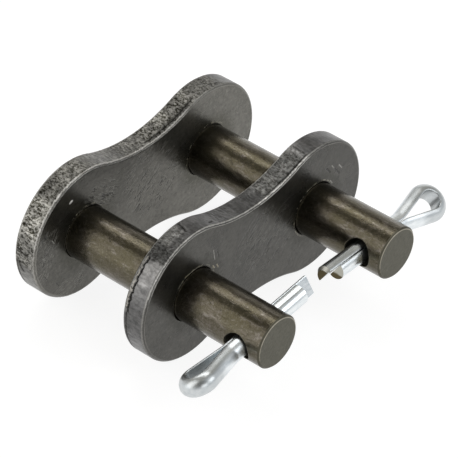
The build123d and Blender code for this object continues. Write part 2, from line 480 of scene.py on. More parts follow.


# Each plate's looks.
# rim: usual inset and depth.
# wide_rims: run from, run to, more inset, more depth.
# worn_and_highlit_rims: run from, run to, softness, wear and painted highlight.
# zones: run from, run to, softness, depth from, depth to, tearing, lightness.
# strokes: from and to at (run, depth), width, cut, darkness of the painted shade in it (below 0 is a pale
# line), raggedness.
BACK_LOOKS = {
    "rim": (0.42, 0.36),
    "wide_rims": [(-40.0, -14.0, 0.12, 0.05)],
    "worn_and_highlit_rims": [
        (-34.0, -26.0, 2.0, 0.3), (-26.5, -13.0, 2.0, 1.0), (-13.0, -4.0, 1.0, 0.9),
        (-4.0, 9.0, 1.0, 0.8), (9.0, 18.0, 2.0, 0.3),
    ],
    "zones": [
        (-36.5, -30.3, 0.6, *ALL, 0.12, 1.1),
        (-30.3, -25.6, 0.6, *ALL, 1.0, 0.8),
        (-25.6, -19.6, 0.5, *ALL, 1.0, 1.35),
        (-19.6, -15.6, 0.5, *ALL, 1.0, 0.7),
        (-15.6, -11.6, 0.5, *ALL, 0.85, 0.92),
        (-11.6, -4.5, 0.5, *ALL, 0.25, 0.94),
        (-4.5, 0.5, 0.8, *ALL, 0.6, 0.78),
        (0.5, 10.6, 0.5, *ALL, 1.0, 0.75),
        (0.5, 10.4, 0.5, 0.3, 1.0, 0.9, 0.45),
        (3.8, 6.2, 0.5, 1.6, 3.6, 0.9, 1.25),
        (9.7, 11.2, 0.2, *ALL, 0.7, 1.3),
        (10.6, 16.5, 1.0, *ALL, 0.6, 0.72),
        (16.5, 24.0, 1.0, *ALL, 0.05, 0.75),
        (33.0, 46.0, 1.0, *ALL, 0.5, 1.0),
        (-52.0, -40.0, 1.0, *ALL, 0.45, 1.0),
    ],
    "strokes": [
        ((0.3, 0.75), (10.5, 0.85), 0.16, 0.08, 0.9, 0.12),
        ((-43.0, 3.1), (-30.0, 3.15), 0.09, 0.1, 0.8, 0.03),
        ((-31.5, 2.2), (-30.0, 3.0), 0.14, 0.12, 0.9, 0.06),
        ((-28.6, 1.2), (-27.9, 3.2), 0.12, 0.14, 0.8, 0.1),
        ((-24.6, 0.6), (-23.9, 3.1), 0.1, 0.1, 0.7, 0.1),
    ],
}
FRONT_LOOKS = {
    "rim": (0.4, 0.34),
    "wide_rims": [(-38.0, -20.0, 0.12, 0.05)],
    "worn_and_highlit_rims": [
        (-34.0, -25.0, 2.0, 0.2), (-25.5, -13.0, 2.0, 0.7), (-13.0, 0.0, 1.0, 0.75),
        (0.0, 11.5, 1.0, 1.0), (11.5, 18.0, 1.5, 0.3),
    ],
    "zones": [
        (-36.0, -31.6, 0.8, *ALL, 0.05, 0.95),
        (-31.6, -26.0, 1.0, *ALL, 0.15, 0.72),
        (-26.0, -19.4, 0.9, *ALL, 0.15, 0.95),
        # The next row, lightness 1.7, is a painted highlight on the left end's edge.
        (-23.6, -19.6, 0.9, *ALL, 0.15, 1.7),
        (-27.6, -19.4, 0.3, 2.95, 3.8, 0.5, 1.3),
        (-19.4, -17.0, 0.3, *ALL, 0.7, 0.5),
        (-17.0, -13.4, 0.2, *ALL, 0.5, 0.6),
        (-17.0, -13.4, 0.2, 1.5, 3.8, 0.7, 1.15),
        (-13.4, -8.0, 0.3, *ALL, 0.06, 0.66),
        (-8.0, -0.6, 0.8, *ALL, 0.2, 0.58),
        (-0.6, 2.2, 0.3, *ALL, 0.4, 0.5),
        (2.2, 11.3, 0.12, *ALL, 0.8, 0.98),
        (10.3, 11.3, 0.15, *ALL, 0.4, 1.5),
        (11.3, 13.5, 0.3, *ALL, 0.05, 0.8),
        (13.5, 24.0, 1.5, *ALL, 0.05, 0.72),
        (34.0, 44.0, 1.0, *ALL, 0.45, 1.0),
        (-50.0, -42.0, 1.0, *ALL, 0.4, 1.0),
    ],
    "strokes": [
        ((-27.6, 2.9), (-19.4, 2.82), 0.13, 0.24, 1.0, 0.22),
        ((-27.0, 3.12), (-19.4, 3.08), 0.08, 0.0, -0.7, 0.22),
        ((-43.0, 3.15), (-27.6, 3.0), 0.08, 0.12, 0.9, 0.03),
        ((-13.3, 1.4), (-12.9, 3.4), 0.18, 0.12, 0.95, 0.25),
        ((-9.3, 0.85), (-8.4, 1.05), 0.14, 0.05, 0.95, 0.03),
        ((2.4, 0.6), (11.2, 0.5), 0.1, 0.12, 0.95, 0.08),
        ((11.2, 0.7), (11.4, 3.0), 0.09, 0.05, 0.7, 0.06),
    ],
}


# ---- materials ----

# A pattern is a noise over an object: turn in degrees, stretch, grains per millimetre, detail, roughness
# and distortion. Layers of colour lie over each other: pattern, where it starts and is full, share and
# colour. A plate's layer names one of its steel's colours and says how bright it is.


def use(node, material):
    """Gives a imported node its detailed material."""
    for slot in nodes[node].material_slots:
        slot.material = material


def patterns(g, kinds):
    """The socket of each named pattern."""
    return {name: g.noise(g.stretched(turn=turn, scale=stretch), *shape)
            for name, (turn, stretch, *shape) in kinds.items()}


def toned(colour, level):
    return [level * share for share in colour]


def layered(g, base, pattern, layers):
    """The colour base under its layers."""
    for name, start, full, share, colour in layers:
        base = g.mix(g.times(g.span(pattern[name], start, full), share), base, colour)
    return base


def of_steel(steel, layers):
    """A plate's layers, with their colours worked out."""
    return [(name, start, full, share, toned(steel[key], level))
            for name, start, full, share, key, level in layers]


NOISE_MIDDLE = 0.5


def about_middle(g, value, amount):
    """How far a noise is off its middle, times amount."""
    return g.times(g.minus(value, NOISE_MIDDLE), amount)


PLATE_PATTERNS = {
    "cloud": (UNTURNED, UNSTRETCHED, 0.13, 3.0, 0.6, 0.0),
    "rolled": ((0.0, 28.0, 0.0), (1.0, 1.0, 3.0), 0.8, 5.0, 0.7, 0.0),
    "mottle": (UNTURNED, UNSTRETCHED, 1.7, 4.0, 0.65, 0.4),
    "fine": (UNTURNED, UNSTRETCHED, 4.5, 3.0, 0.7, 0.0),
    "flecks": (UNTURNED, (1.0, 0.6, 1.0), 3.8, 5.0, 0.68, 0.5),
    "streaks": (UNTURNED, (1.0, 0.15, 1.0), 2.2, 4.0, 0.6, 0.0),
    "patchy": (UNTURNED, (1.0, 0.8, 1.0), 0.9, 2.0, 0.5, 0.6),
}
FACE_LAYERS = [
    ("cloud", 0.35, 0.65, 1.0, "face_light", 1.0),
    ("rolled", 0.45, 0.75, 0.4, "face_dark", 0.6),
    ("mottle", 0.5, 0.75, 0.55, "face_light", 1.5),
    ("mottle", 0.48, 0.3, 0.5, "face_dark", 0.5),
    ("fine", 0.4, 0.75, 0.3, "face_light", 1.35),
]
HALO_REACH = 7.9  # from a pin's axis to where the ring of painted dark reflection round it starts
HALO_FULL = 5.0
HALO_WANDER = 2.0
HALO_SHARE = 0.7
PIN_REFLECTION_TINT = (0.5, 0.5, 0.4)  # against the dark of the face
ROLLED_RELIEF = 0.8
MOTTLE_RELIEF = 1.3


def plate_face(g, steel, pattern, from_pin, x):
    """The faces' colour: rolled and mottled steel, with a painted dark reflection round the pins, shaded from
    end to end.
    """
    face = layered(g, steel["face_dark"], pattern, of_steel(steel, FACE_LAYERS))
    # Painted dark reflection of the pins: a ring round each pin is darkened towards a tint of the face's
    # dark.
    wandering = g.math("ADD", from_pin, g.times(pattern["mottle"], HALO_WANDER))
    halo = g.times(g.span(wandering, HALO_REACH, HALO_FULL), HALO_SHARE)
    pin_reflection = [share * tint for share, tint in zip(steel["face_dark"], PIN_REFLECTION_TINT)]
    face = g.mix(halo, face, pin_reflection)
    along = g.span(x, -PIN_X, PIN_X, *steel["face_ends"])
    return g.vector("MULTIPLY", face, g.joined(along, along, along))


MARK_BREAKS = (0.3, 0.55, 0.45, 1.0)  # fine noise from, to, and a mark's strength there


def add_marks(g, pattern, on_front, marks, face, relief, bare_and_highlit):
    """Short single scratches. Raised pale ones are bare of the dark finish."""
    for start, end, width, colour, raised in marks:
        broken = g.times(g.stroke(start, end, width), g.span(pattern["fine"], *MARK_BREAKS))
        mark = g.times(on_front, broken)
        face = g.mix(mark, face, colour)
        relief = g.math("ADD", relief, g.times(mark, raised))
        if raised > 0.0:
            bare_and_highlit = g.math("MAXIMUM", bare_and_highlit, mark)
    return face, relief, bare_and_highlit


SCRATCH_STRETCH = 4.5  # a scratch's length over its width in a scuffed patch
SCRATCH_SHAPE = (3.0, 0.55, 0.3)  # detail, roughness, distortion
SCUFF_FADE = 0.6  # share of a patch's reach that is full
SCUFF_BORDER = (0.5, 0.55)  # noise where a scratch's raised border starts and is full
SCUFF_DENT = (0.56, 0.64)  # and where the scratch itself does
BORDER_SHARE = 0.35
BORDER_LEVEL = 1.9
DENT_SHARE = 0.45
DENT_LEVEL = 0.5
BORDER_BARE = 0.6


def add_scuffs(g, steel, on_front, scuffs, face, relief, bare_and_highlit):
    """Patches of parallel scratches, each dark with a paler border."""
    for centre, reach, size, turn, depth, strength in scuffs:
        near = g.stretched(move=(-centre[0], 0.0, -centre[1]))
        near = g.stretched(scale=(1.0 / reach[0], 0.0, 1.0 / reach[1]), place=near)
        patch = g.times(on_front, g.span(g.vector("LENGTH", near), 1.0, SCUFF_FADE))
        turned = g.stretched(turn=(0.0, turn, 0.0))
        place = g.stretched(scale=(1.0, 1.0, SCRATCH_STRETCH), place=turned)
        scratches = g.noise(place, size, *SCRATCH_SHAPE)
        dent = g.times(patch, g.span(scratches, *SCUFF_DENT))
        border = g.times(patch, g.span(scratches, *SCUFF_BORDER))
        border = g.times(border, g.minus(1.0, dent))
        face = g.mix(g.times(border, BORDER_SHARE * strength), face, toned(steel["face_light"], BORDER_LEVEL))
        face = g.mix(g.times(dent, DENT_SHARE * strength), face, toned(steel["face_dark"], DENT_LEVEL))
        relief = g.minus(relief, g.times(dent, depth))
        bare_and_highlit = g.math("MAXIMUM", bare_and_highlit, g.times(border, BORDER_BARE * (strength - 1.0)))
    return face, relief, bare_and_highlit


ARC_HIGHLIGHT_OFFSET = 0.36  # from a pin's surface to the middle of the ring of painted highlight
ARC_HIGHLIGHT_WIDTH = (0.15, 0.05)  # off its middle: where it ends and where it is full
ARC_HIGHLIGHT_BREAKS = (0.5, 0.58)
ARC_HIGHLIGHT_SIDE = (-2.0, 1.0)  # z less |x|, against a pin's axis: where the ring starts and is full
ARC_HIGHLIGHT_SHARE = 0.85
ARC_HIGHLIGHT_COLOUR = (0.26, 0.24, 0.18)


def add_arc_highlights(g, pattern, on_front, from_pin, x, z, face, bare_and_highlit):
    """Broken arcs of painted highlight round the holes, on the sides that face up and to the middle."""
    # Painted highlight: pale, matt arcs where the holes' rims face up.
    off = g.apart(from_pin, PIN_RADIUS + ARC_HIGHLIGHT_OFFSET)
    ring = g.times(g.span(off, *ARC_HIGHLIGHT_WIDTH), g.span(pattern["mottle"], *ARC_HIGHLIGHT_BREAKS))
    leaning = g.minus(z, g.math("ABSOLUTE", x))
    low, high = (AXIS_Z - PIN_X + off_axis for off_axis in ARC_HIGHLIGHT_SIDE)
    arc_highlight = g.times(ring, g.times(on_front, g.span(leaning, low, high)))
    face = g.mix(g.times(arc_highlight, ARC_HIGHLIGHT_SHARE), face, ARC_HIGHLIGHT_COLOUR)
    return face, g.math("MAXIMUM", bare_and_highlit, arc_highlight)


EVEN_EDGE_LEVEL = 0.085
EVEN_EDGE_LAYERS = [
    ("streaks", 0.3, 0.7, 1.0, "edge_tint", 0.155),
    ("fine", 0.35, 0.7, 0.3, "edge_tint", 0.2),
]
TORN_EDGE_LAYERS = [
    ("flecks", 0.4, 0.6, 1.0, "torn_light", 1.0),
    ("fine", 0.55, 0.75, 0.5, "torn_light", 1.35),
    ("fine", 0.45, 0.3, 0.55, "torn_dark", 1.3),
]
PIT_SHADE = 0.12
PATCHY_TONES = (0.32, 0.68, 0.72, 1.28)  # patchy noise from, to, and the edge's brightness there


def plate_edge(g, steel, pattern, torn, tone):
    """The blanked edge's colour: streaked where it is sheared and flecked where it is torn."""
    smooth = toned(steel["edge_tint"], EVEN_EDGE_LEVEL)
    smooth = layered(g, smooth, pattern, of_steel(steel, EVEN_EDGE_LAYERS))
    ragged = layered(g, steel["torn_dark"], pattern, of_steel(steel, TORN_EDGE_LAYERS))
    shade = g.times(tone, g.span(pattern["patchy"], *PATCHY_TONES))
    return g.vector("MULTIPLY", g.mix(torn, smooth, ragged), g.joined(shade, shade, shade))


RIM_LINES = [  # middle, as a share across the rim, how far off it the line ends and is full, strength
    (0.2, 0.17, 0.05, 0.6),
    (0.76, 0.26, 0.1, 1.0),
]
RIM_LINE_BREAKS = (0.3, 0.52, 0.4, 1.0)
RIM_LINE_WANDER = 0.5
RIM_BORDER = 0.15  # share of a rim over which its own colour comes in
RIM_SHARE = 0.6
RIM_LEVEL = 1.1
WORN_AND_HIGHLIT_STEEL = (0.68, 0.66, 0.62)


def add_worn_and_highlit_rims(g, steel, pattern, rim, wear_and_highlight, colour):
    """Rims a little lighter than the face, with two thin pale lines where they are worn and lit: partly real
    wear, partly painted highlight.
    """
    wandering = g.math("ADD", rim, about_middle(g, pattern["mottle"], RIM_LINE_WANDER))
    lines = 0.0
    for middle, reach, full, strength in RIM_LINES:
        off = g.apart(wandering, middle)
        lines = g.math("MAXIMUM", lines, g.times(g.span(off, reach, full), strength))
    lines = g.times(lines, g.span(pattern["fine"], *RIM_LINE_BREAKS))
    # Rims lighter than the face, and thin pale lines on them: partly real wear, partly painted highlight.
    on_rim = g.times(g.span(rim, 0.0, RIM_BORDER), g.span(rim, 1.0, 1.0 - RIM_BORDER))
    colour = g.mix(g.times(on_rim, RIM_SHARE), colour, toned(steel["face_light"], RIM_LEVEL))
    return g.mix(g.times(g.times(lines, on_rim), wear_and_highlight), colour, WORN_AND_HIGHLIT_STEEL)


CUT_SHADE_COLOUR = (0.012, 0.011, 0.008)
PALE_LINE_COLOUR = (0.5, 0.47, 0.41)
FACE_ROUGHNESS = (0.3, 0.7, 0.25, 0.32)  # cloud noise from, to, and the roughness there
SMOOTH_EDGE_ROUGHNESS = 0.33
TORN_EDGE_ROUGHNESS = 0.42
CUT_SHADE_ROUGHNESS = 0.6
SMOOTH_EDGE_RELIEF = 0.25  # against a torn edge's
EDGE_RELIEF = 4.0
PLATE_METALLIC = 0.85
BARE_AND_HIGHLIT_METALLIC = 0.1
PLATE_BUMP = 0.02


def plate_material(name, front_y, steel, marks, scuffs):
    """Dark tempered steel: satin faces, rims with thin pale lines of wear and painted highlight and an edge
    that is partly torn.
    """
    g = Surface(name)
    edge, rim, torn, tone, cut_shade_and_pale_line, wear_and_highlight, pit = (g.attribute(key) for key in SHARES)
    pattern = patterns(g, PLATE_PATTERNS)
    # Painted shade: the torn edge's flecks are darker in its pits.
    pattern["flecks"] = g.minus(pattern["flecks"], about_middle(g, pit, PIT_SHADE))
    x, y, z = g.parts(g.place)
    from_pin = g.vector("LENGTH", g.joined(g.minus(g.math("ABSOLUTE", x), PIN_X), 0.0, g.minus(z, AXIS_Z)))
    on_front = g.span(y, front_y + THICKNESS / 2, front_y)

    face = plate_face(g, steel, pattern, from_pin, x)
    relief = g.math(
        "ADD", g.times(pattern["rolled"], ROLLED_RELIEF), g.times(pattern["mottle"], MOTTLE_RELIEF))
    face, relief, bare_and_highlit = add_marks(g, pattern, on_front, marks, face, relief, 0.0)
    face, relief, bare_and_highlit = add_scuffs(g, steel, on_front, scuffs, face, relief, bare_and_highlit)
    face, bare_and_highlit = add_arc_highlights(g, pattern, on_front, from_pin, x, z, face, bare_and_highlit)
    colour = g.mix(edge, face, plate_edge(g, steel, pattern, torn, tone))
    colour = add_worn_and_highlit_rims(g, steel, pattern, rim, wear_and_highlight, colour)
    # Painted shade: near-black along the edge's cuts; pale along the strokes below 0.
    cut_shade = g.math("MAXIMUM", cut_shade_and_pale_line, 0.0)
    colour = g.mix(cut_shade, colour, CUT_SHADE_COLOUR)
    colour = g.mix(g.math("MAXIMUM", g.times(cut_shade_and_pale_line, -1.0), 0.0), colour, PALE_LINE_COLOUR)

    edge_roughness = g.blend(torn, SMOOTH_EDGE_ROUGHNESS, TORN_EDGE_ROUGHNESS)
    roughness = g.blend(edge, g.span(pattern["cloud"], *FACE_ROUGHNESS), edge_roughness)
    roughness = g.blend(cut_shade, roughness, CUT_SHADE_ROUGHNESS)
    edge_relief = g.times(g.blend(torn, SMOOTH_EDGE_RELIEF, 1.0), g.times(pattern["flecks"], EDGE_RELIEF))
    height = g.blend(edge, relief, edge_relief)
    metallic = g.blend(bare_and_highlit, PLATE_METALLIC, BARE_AND_HIGHLIT_METALLIC)
    g.set(base_color=colour, metallic=metallic, roughness=roughness, normal=g.bump(height, PLATE_BUMP))
    return g.material


PIN_PATTERNS = {
    "grain": (UNTURNED, (1.0, 0.5, 1.0), 2.2, 4.0, 0.65, 0.3),
    "ground": (UNTURNED, (1.0, 0.3, 1.0), 1.7, 5.0, 0.62, 0.4),
    "cloud": (UNTURNED, UNSTRETCHED, 0.3, 3.0, 0.55, 0.0),
    "speck": (UNTURNED, UNSTRETCHED, 4.0, 2.0, 0.6, 0.0),
    "nicks": ((0.0, 0.0, 35.0), (1.0, 0.6, 1.0), 0.9, 4.0, 0.6, 1.5),
}
PIN_SIDE = (0.077, 0.068, 0.046)
PIN_SIDE_LAYERS = [  # below the painted dark reflection at the roots
    ("grain", 0.3, 0.7, 1.0, (0.128, 0.112, 0.09)),
    ("cloud", 0.3, 0.7, 1.0, (0.094, 0.083, 0.054)),
    ("ground", 0.54, 0.68, 0.6, (0.21, 0.19, 0.17)),
    ("ground", 0.46, 0.32, 0.6, (0.05, 0.043, 0.025)),
]
NICKED = (0.64, 0.7)
PIN_TOP_LAYERS = [  # and over them
    ("nicks", *NICKED, 0.5, (0.04, 0.034, 0.022)),
    ("speck", 0.55, 0.7, 0.4, (0.2, 0.185, 0.155)),
    ("speck", 0.45, 0.3, 0.5, (0.045, 0.038, 0.024)),
]
PIN_END = (0.078, 0.075, 0.056)
PIN_END_LAYERS = [
    ("grain", 0.3, 0.7, 1.0, (0.106, 0.101, 0.078)),
    ("cloud", 0.35, 0.65, 0.4, (0.082, 0.078, 0.058)),
]
ROOT_REFLECTION_WANDER = 3.0
FRONT_ROOT_REFLECTION = (-4.2, -1.2)  # in front of the front plate: where its painted dark reflection starts and is full
BACK_ROOT_REFLECTION = (-4.0, -1.0)  # and in front of the back plate
ROOT_REFLECTION_SHARE = 0.5
ROOT_REFLECTION_DARK = (0.02, 0.018, 0.012)
FACING_END = (0.3, 0.6)  # of the normal along the pin, from its side to its end
IN_HOLE = (-0.12, -0.4)  # from the pin's surface inwards
HOLE_COLOUR = (0.13, 0.115, 0.085)
CHAMFER = (-0.27, -0.2)  # from there too, outwards
CHAMFER_COLOUR = (0.075, 0.069, 0.05)
LIP_WIDTH = (0.1, 0.03)  # off the chamfer's inner edge: where the painted highlight ends and where it is full
LIP_TOP = (1.0, 5.0)  # above the pin's axis: where the painted highlight starts and is full
LIP_WANDER = 6.0
LIP_HIGHLIGHT_SHARE = 0.8
LIP_HIGHLIGHT_COLOUR = (0.4, 0.37, 0.3)
PIN_SIDE_ROUGHNESS = (0.3, 0.7, 0.18, 0.27)
PIN_END_ROUGHNESS = 0.42
PIN_HOLE_ROUGHNESS = 0.6
GROUND_RELIEF = 1.2
SPECK_RELIEF = 0.3
NICK_RELIEF = 0.5
PIN_METALLIC = 0.9
PIN_BUMP = 0.025


def pin_side(g, pattern, y):
    """The ground side's colour, with a painted dark reflection of the plates where it comes out of them."""
    side = layered(g, PIN_SIDE, pattern, PIN_SIDE_LAYERS)
    # Painted dark reflection of the plates on the pin, near where it leaves each plate.
    wandering = g.math("ADD", y, about_middle(g, pattern["grain"], ROOT_REFLECTION_WANDER))
    before_front = g.span(wandering, *(FRONT_PLATE_Y + off for off in FRONT_ROOT_REFLECTION))
    not_behind = g.span(y, FRONT_PLATE_Y + THICKNESS, FRONT_PLATE_Y + THICKNESS / 2)
    before_back = g.span(wandering, *(BACK_PLATE_Y + off for off in BACK_ROOT_REFLECTION))
    darkened = g.math("MAXIMUM", g.times(before_front, not_behind), before_back)
    side = g.mix(g.times(darkened, ROOT_REFLECTION_SHARE), side, ROOT_REFLECTION_DARK)
    return layered(g, side, pattern, PIN_TOP_LAYERS)


def pin_end(g, pattern, radius, z, across):
    """The cut end's colour, with its chamfer and, on the free end, a pale painted highlight along the top of
    the chamfer's inner edge.
    """
    end = layered(g, PIN_END, pattern, PIN_END_LAYERS)
    end = g.mix(g.span(radius, *(PIN_RADIUS + off for off in CHAMFER)), end, CHAMFER_COLOUR)
    # Painted highlight: a pale line on the chamfer's edge, only above the axis.
    off = g.apart(radius, PIN_RADIUS + CHAMFER[0])
    wandering = g.math("ADD", z, g.times(pattern["grain"], LIP_WANDER))
    lip_highlight = g.times(g.span(off, *LIP_WIDTH), g.span(wandering, *(AXIS_Z + rise for rise in LIP_TOP)))
    free = g.span(across, -FACING_END[0], -FACING_END[1])
    return g.mix(g.times(g.times(lip_highlight, free), LIP_HIGHLIGHT_SHARE), end, LIP_HIGHLIGHT_COLOUR)


def pin_material(name, pin_x):
    """Brown hardened steel, ground round, with a matt cut end and a dark cross hole."""
    g = Surface(name)
    pattern = patterns(g, PIN_PATTERNS)
    across = g.parts(g.normal)[1]
    x, y, z = g.parts(g.place)
    radius = g.math("SQRT", g.math(
        "ADD", g.math("POWER", g.minus(x, pin_x), 2.0), g.math("POWER", g.minus(z, AXIS_Z), 2.0)))
    on_end = g.span(g.math("ABSOLUTE", across), *FACING_END)
    in_hole = g.times(g.span(radius, *(PIN_RADIUS + off for off in IN_HOLE)), g.minus(1.0, on_end))
    colour = g.mix(on_end, pin_side(g, pattern, y), pin_end(g, pattern, radius, z, across))
    colour = g.mix(in_hole, colour, HOLE_COLOUR)

    roughness = g.blend(on_end, g.span(pattern["grain"], *PIN_SIDE_ROUGHNESS), PIN_END_ROUGHNESS)
    roughness = g.blend(in_hole, roughness, PIN_HOLE_ROUGHNESS)
    height = g.math("ADD", pattern["grain"], g.times(pattern["ground"], GROUND_RELIEF))
    height = g.math("ADD", height, g.times(pattern["speck"], SPECK_RELIEF))
    height = g.minus(height, g.times(g.span(pattern["nicks"], *NICKED), NICK_RELIEF))
    g.set(base_color=colour, metallic=PIN_METALLIC, roughness=roughness, normal=g.bump(height, PIN_BUMP))
    return g.material


DRAWN = ((0.2, 1.0, 1.0), 1.8, 3.0, 0.6, 0.0)  # a pattern without its turn
WIRE_DARK = (0.7, 0.745, 0.77)
WIRE_LIGHT = (0.86, 0.89, 0.9)
WIRE_TONES = (0.3, 0.7)
TIP_REACH = (7.5, 8.5)  # along the legs, from the pin's axis, where the tips start
POINT_FACING = (0.3, 0.5)  # of the normal along the cotter, on the ground point
CUT_FACING = (0.75, 0.85)  # and on the cut tips
EYE_SHADE_REACH = (-7.5, -9.5)  # where the eye's painted shade starts and is full
EYE_SHADE_SHARE = 0.45
EYE_SHADE_COLOUR = (0.32, 0.335, 0.335)
INSIDE_FACING = (-0.3, -1.0)  # of the normal, times the millimetres from the cotter's axis
INSIDE_REACH = (-5.0, -6.5)
INSIDE_SHADE_SHARE = 0.45
INSIDE_SHADE_COLOUR = (0.25, 0.26, 0.26)
BROWN_WANDER = 0.6
BROWN_HEIGHT = (0.1, -0.25)  # above the axis height: where the brown of a cut tip starts and is full
BROWN_END = (-0.3, -0.15)  # the same, against the long leg's tip
TIP_PALE = (0.5, 0.49, 0.43)
TIP_BROWN = (0.1, 0.08, 0.04)
POINT_SHARE = 0.7
POINT_COLOUR = (0.6, 0.58, 0.5)
NECK_REACH = (-2.0, -5.0)  # from the smooth legs to the rougher neck and eye
LEG_ROUGHNESS = (0.3, 0.7, 0.2, 0.27)
NECK_ROUGHNESS = 0.33
POINT_ROUGHNESS = 0.42
WIRE_BUMP = 0.004


def cotter_material(name, pin_x, direction, long_reach, darkened):
    """Bright half-round wire, smooth drawn, with painted shade on its eye and on the eye's inner faces, and
    cut tips, which are part brown where darkened is 1.
    """
    g = Surface(name)
    reach = g.vector("DOT_PRODUCT", g.vector("SUBTRACT", g.place, (pin_x, 0.0, AXIS_Z)), direction)
    facing = g.vector("DOT_PRODUCT", g.normal, direction)
    z = g.parts(g.place)[2]
    stretch, *shape = DRAWN
    drawn = g.noise(g.stretched(scale=stretch), *shape)
    colour = g.mix(g.span(drawn, *WIRE_TONES), WIRE_DARK, WIRE_LIGHT)

    # Painted shade: the eye is darkened towards a grey, away from the legs.
    eye_shade = g.span(g.math("ADD", reach, drawn), *EYE_SHADE_REACH)
    colour = g.mix(g.times(eye_shade, EYE_SHADE_SHARE), colour, EYE_SHADE_COLOUR)
    # Painted shade on the eye's inner faces, those turned towards the cotter's axis.
    from_axis = g.vector("SUBTRACT", g.place, (pin_x, COTTER_Y, AXIS_Z))
    from_axis = g.vector("SUBTRACT", from_axis, g.scaled(direction, reach))
    inside_shade = g.span(g.vector("DOT_PRODUCT", from_axis, g.normal), *INSIDE_FACING)
    inside_shade = g.times(inside_shade, g.span(reach, *INSIDE_REACH))
    colour = g.mix(g.times(inside_shade, INSIDE_SHADE_SHARE), colour, INSIDE_SHADE_COLOUR)

    low = g.span(g.math("ADD", z, g.times(drawn, BROWN_WANDER)), *(AXIS_Z + rise for rise in BROWN_HEIGHT))
    brown = g.math("MAXIMUM", low, g.span(reach, *(long_reach + off for off in BROWN_END)))
    tip = g.mix(g.times(brown, darkened), TIP_PALE, TIP_BROWN)
    beyond = g.span(reach, *TIP_REACH)
    point = g.times(g.span(facing, *POINT_FACING), beyond)
    colour = g.mix(g.times(point, POINT_SHARE), colour, POINT_COLOUR)
    colour = g.mix(g.times(g.span(facing, *CUT_FACING), beyond), colour, tip)

    roughness = g.blend(g.span(reach, *NECK_REACH), g.span(drawn, *LEG_ROUGHNESS), NECK_ROUGHNESS)
    roughness = g.blend(point, roughness, POINT_ROUGHNESS)
    g.set(base_color=colour, metallic=1.0, roughness=roughness, normal=g.bump(drawn, WIRE_BUMP))
    return g.material


BACK_STEEL = {
    "face_dark": (0.092, 0.089, 0.078),
    "face_light": (0.135, 0.13, 0.115),
    "face_ends": (0.82, 1.18),  # brightness at the left pin and at the right one
    "edge_tint": (1.0, 0.98, 0.92),
    "torn_dark": (0.034, 0.032, 0.021),
    "torn_light": (0.4, 0.39, 0.36),
}
FRONT_STEEL = {
    "face_dark": (0.06, 0.058, 0.052),
    "face_light": (0.08, 0.077, 0.069),
    "face_ends": (1.0, 1.0),
    "edge_tint": (1.0, 0.98, 0.97),
    "torn_dark": (0.05, 0.048, 0.042),
    "torn_light": (0.24, 0.24, 0.23),
}

# Marks on the plates' faces: from and to at (x, z), width, colour and height in the bump.
BRIGHT_MARK = (1.0, 0.98, 0.92)
DARK_MARK = (0.03, 0.028, 0.024)
PALE_MARK = (0.3, 0.29, 0.26)
GOLD_MARK = (0.3, 0.26, 0.17)
BACK_MARKS = [
    ((-15.75, 16.95), (-15.45, 17.1), 0.3, BRIGHT_MARK, 3.0),
    ((-19.4, 12.6), (-18.9, 11.8), 0.1, PALE_MARK, 2.0),
    ((-21.4, 10.6), (-20.8, 10.0), 0.1, PALE_MARK, 2.0),
    ((-18.6, 4.6), (-18.2, 3.9), 0.14, DARK_MARK, -2.0),
    ((-9.3, 14.5), (-7.9, 14.1), 0.3, DARK_MARK, -2.0),
    ((-14.3, 13.9), (-13.2, 14.15), 0.12, PALE_MARK, 2.0),
    ((12.2, 13.8), (13.6, 13.6), 0.16, PALE_MARK, 2.0),
]
FRONT_MARKS = [
    ((-8.9, 15.6), (-8.6, 13.9), 0.12, PALE_MARK, 2.0),
    ((-8.1, 15.0), (-7.8, 13.9), 0.14, DARK_MARK, -2.0),
    ((-8.9, 12.9), (-8.6, 12.4), 0.16, GOLD_MARK, 2.0),
    ((-8.1, 12.7), (-7.8, 12.1), 0.14, GOLD_MARK, 2.0),
    ((-14.6, 14.3), (-12.6, 14.5), 0.12, GOLD_MARK, 2.0),
    ((15.0, 15.9), (15.8, 14.9), 0.22, DARK_MARK, -3.0),
    ((16.2, 15.8), (16.6, 15.2), 0.13, PALE_MARK, 2.0),
    ((16.9, 14.9), (17.9, 13.6), 0.24, DARK_MARK, -3.0),
    ((17.8, 15.1), (18.5, 14.2), 0.13, PALE_MARK, 2.0),
    ((16.0, 13.3), (16.5, 12.6), 0.13, PALE_MARK, 2.0),
    ((6.7, 8.4), (7.1, 8.0), 0.2, DARK_MARK, -2.0),
]

# Scuffed patches: centre (x, z), half width and height, grains per millimetre, turn, depth in the bump,
# strength of the colours.
BACK_SCUFFS = [
    ((0.8, 12.0), (6.5, 7.5), 0.55, 35.0, 3.5, 1.2),
    ((-9.5, 15.0), (4.0, 3.0), 0.7, -35.0, 4.5, 1.4),
    ((-20.0, 12.0), (2.6, 3.0), 0.7, 50.0, 8.0, 2.0),
    ((-21.0, 8.0), (1.8, 2.4), 0.8, 50.0, 6.0, 1.8),
    ((-16.0, 2.6), (4.0, 1.8), 0.6, 20.0, 2.5, 1.0),
]
FRONT_SCUFFS = [
    ((2.5, 11.5), (7.0, 6.5), 0.5, 40.0, 2.0, 1.1),
]


